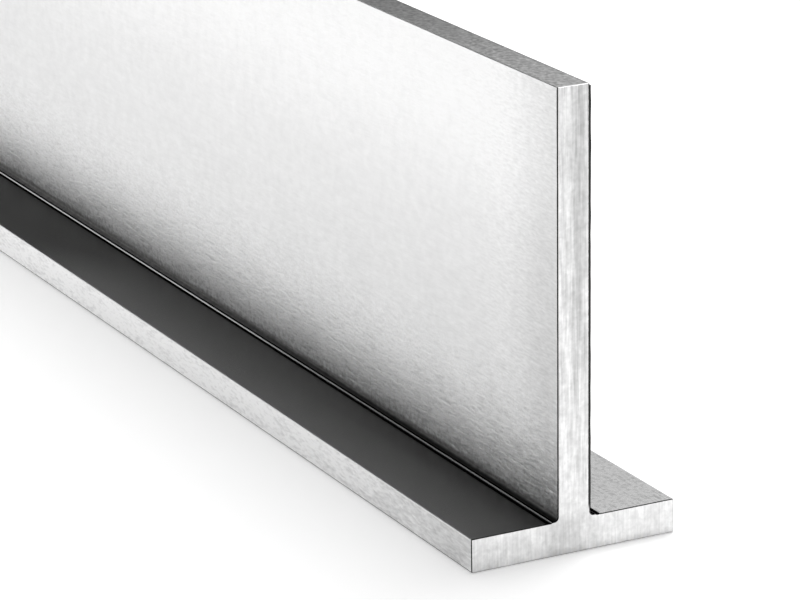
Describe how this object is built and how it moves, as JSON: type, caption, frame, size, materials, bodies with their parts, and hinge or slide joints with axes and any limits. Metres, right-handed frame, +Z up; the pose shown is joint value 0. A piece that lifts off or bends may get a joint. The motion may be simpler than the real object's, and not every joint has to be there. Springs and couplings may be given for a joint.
{
  "type": "tee section",
  "caption": "Tee section in bare steel: a tall flat web fused to the middle of a narrow flat flange, with small root fillets and square-sawn ends.",
  "frame": {"origin": "mid-length, on the middle line of the flange's underside, at the bottom centre of the bounding box", "axes": "+X along the stock, towards the sawn end that the picture shows; +Y across the flange, to the right as one looks at that end; +Z up the web"},
  "size_m": [1, 0.065, 0.135],
  "materials": {
    "steel": "bare rolled steel, satin with a fine grain along the length"
  },
  "bodies": {
    "root": {"tee_section": "steel"}
  },
  "joints": []
}
